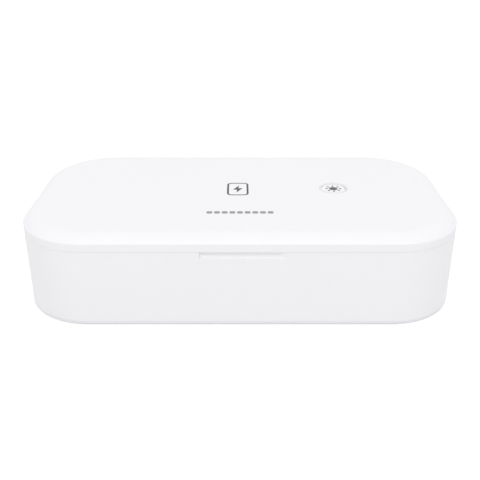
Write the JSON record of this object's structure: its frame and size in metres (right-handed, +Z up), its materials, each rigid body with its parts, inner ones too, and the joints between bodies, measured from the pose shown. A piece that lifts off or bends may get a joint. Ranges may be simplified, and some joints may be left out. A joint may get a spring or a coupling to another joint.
{
  "type": "uv phone sanitizer box",
  "caption": "Rounded tabletop box whose hinged lid closes over a mirror-lined UV chamber for a phone, with a charging pad and a push button on top.",
  "frame": {"origin": "on the table, under the centre of the whole outline, hinge included", "axes": "+Z up, +X to the right as seen from the front, +Y to the rear, where the hinge is"},
  "size_m": [0.22, 0.1248, 0.048],
  "materials": {
    "white_shell": "white ABS with a fine satin texture",
    "reflector": "vacuum-metallised plastic, bright and slightly soft",
    "light_pipe": "milky translucent acrylic",
    "silicone": "translucent white silicone",
    "foot_rubber": "matt grey rubber",
    "quartz": "clear fused quartz",
    "circuit_board": "green solder mask",
    "black_plastic": "moulded chip bodies and insulation",
    "ivory_plastic": "moulded connectors",
    "steel": "plated steel",
    "led_ceramic": "ceramic package with gilded pads and a clear lens",
    "copper": "enamelled copper litz wire",
    "ferrite": "dark sintered ferrite"
  },
  "bodies": {
    "base": {"base_shell": "white_shell", "bottom_cover": "white_shell", "base_liner": "reflector", "phone_rests": "silicone", "foot_front_left": "foot_rubber", "foot_front_right": "foot_rubber", "foot_rear_left": "foot_rubber", "foot_rear_right": "foot_rubber", "bottom_screws": "steel", "base_led_board": "circuit_board", "base_uv_leds": "led_ceramic", "base_uv_windows": "quartz", "main_board": "circuit_board", "main_board_chips": "black_plastic", "base_cable_socket": "ivory_plastic", "usb_shell": "steel", "usb_tongue": "black_plastic", "base_magnets": "steel", "interlock_sensor": "circuit_board", "hinge_pin_left": "steel", "hinge_pin_right": "steel", "base_cable": "black_plastic"},
    "lid": {"lid_shell": "white_shell", "lid_liner": "reflector", "lid_screws": "steel", "lid_bumpers": "foot_rubber", "lid_led_board": "circuit_board", "lid_uv_leds": "led_ceramic", "lid_uv_windows": "quartz", "lid_board": "circuit_board", "lid_board_chips": "black_plastic", "lid_cable_socket": "ivory_plastic", "lid_cable": "black_plastic", "charging_coil": "copper", "ferrite_disc": "ferrite", "lid_magnets": "steel", "light_ring": "light_pipe", "ring_leds": "ivory_plastic", "tact_switch": "black_plastic"},
    "button": {"power_button": "white_shell", "switch_plunger": "ivory_plastic"}
  },
  "joints": [
    {"name": "lid_hinge", "type": "hinge", "parent": "base", "child": "lid", "pos_m": [0, 0.0588, 0.042], "axis": [-1, 0, 0], "range_deg": [0, 105]},
    {"name": "power_button_press", "type": "slide", "parent": "lid", "child": "button", "axis": [0, 0, -1], "range_m": [0, 0.0005], "stiffness_N_per_m": 400}
  ]
}
